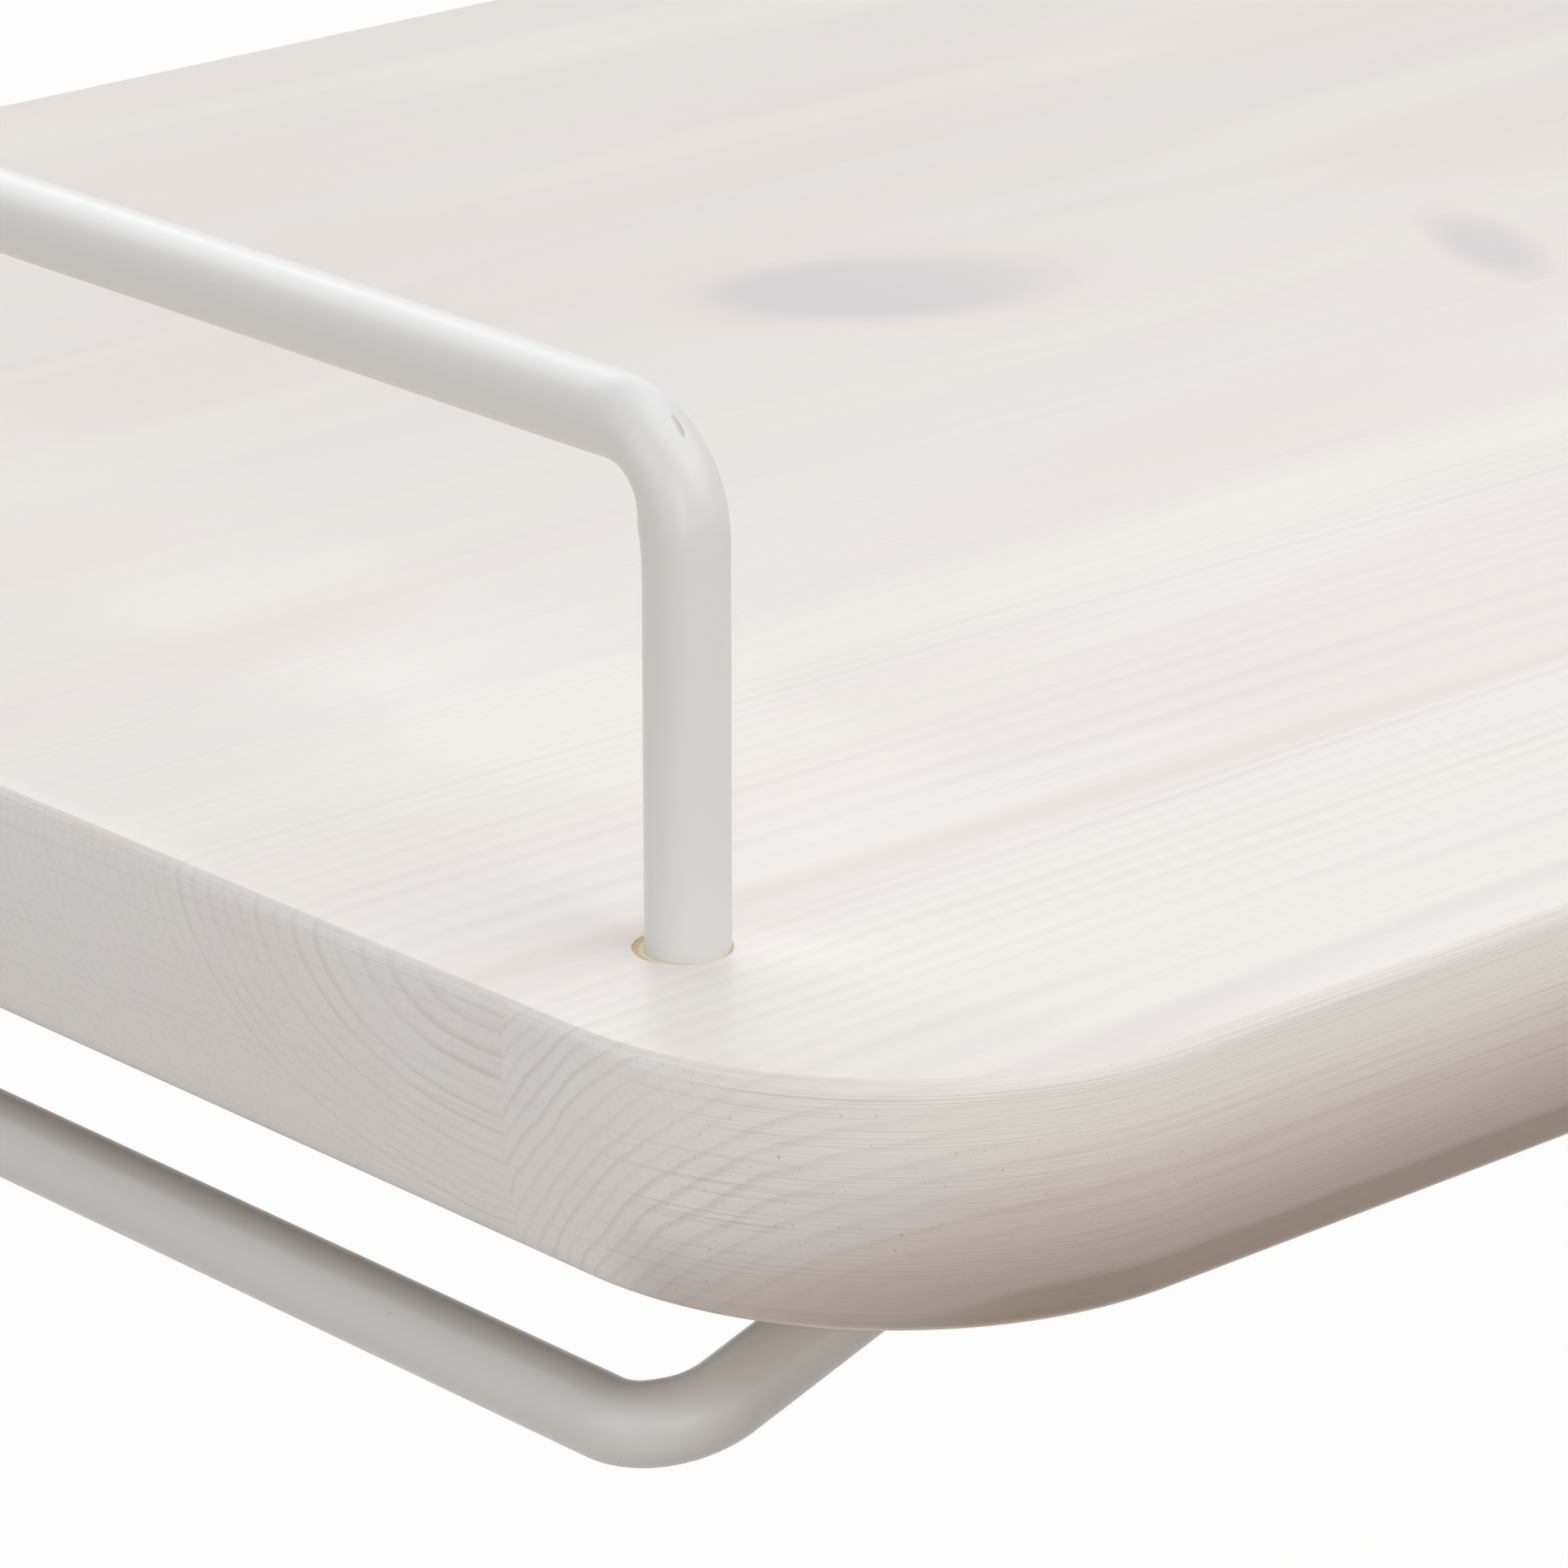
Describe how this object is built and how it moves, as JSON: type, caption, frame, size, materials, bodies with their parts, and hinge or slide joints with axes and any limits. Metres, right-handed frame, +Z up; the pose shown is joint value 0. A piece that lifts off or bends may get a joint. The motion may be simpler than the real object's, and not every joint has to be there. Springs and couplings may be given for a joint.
{
  "type": "clip-on bedside shelf",
  "caption": "Bedside shelf that hooks over a bed's side plank: a rounded glued-pine board between bent-rod side rails, steadied by a bent-rod brace underneath.",
  "frame": {"origin": "middle of the board's back edge face, the face that bears on the bed's side plank", "axes": "+X along the shelf's long side, +Y out of the back edge towards the bed, +Z up"},
  "size_m": [0.42, 0.2789, 0.076],
  "materials": {
    "whitewashed_pine": "whitewashed, satin lacquer",
    "white_coated_steel": "satin powder coat",
    "soft_white_plastic": "soft matte",
    "zinc_plated_steel": "bright zinc"
  },
  "bodies": {
    "root": {"front_stave": "whitewashed_pine", "front_middle_stave": "whitewashed_pine", "back_middle_stave": "whitewashed_pine", "back_stave": "whitewashed_pine", "lower_brace": "white_coated_steel", "left_side_rail": "white_coated_steel", "right_side_rail": "white_coated_steel", "left_hook_sleeve": "soft_white_plastic", "right_hook_sleeve": "soft_white_plastic", "left_brace_cap": "soft_white_plastic", "right_brace_cap": "soft_white_plastic", "left_front_washer": "zinc_plated_steel", "left_rear_washer": "zinc_plated_steel", "right_front_washer": "zinc_plated_steel", "right_rear_washer": "zinc_plated_steel", "left_front_leg_screw": "zinc_plated_steel", "left_rear_leg_screw": "zinc_plated_steel", "right_front_leg_screw": "zinc_plated_steel", "right_rear_leg_screw": "zinc_plated_steel", "left_saddle": "white_coated_steel", "right_saddle": "white_coated_steel", "left_saddle_front_screw": "zinc_plated_steel", "left_saddle_rear_screw": "zinc_plated_steel", "right_saddle_front_screw": "zinc_plated_steel", "right_saddle_rear_screw": "zinc_plated_steel"}
  },
  "joints": []
}
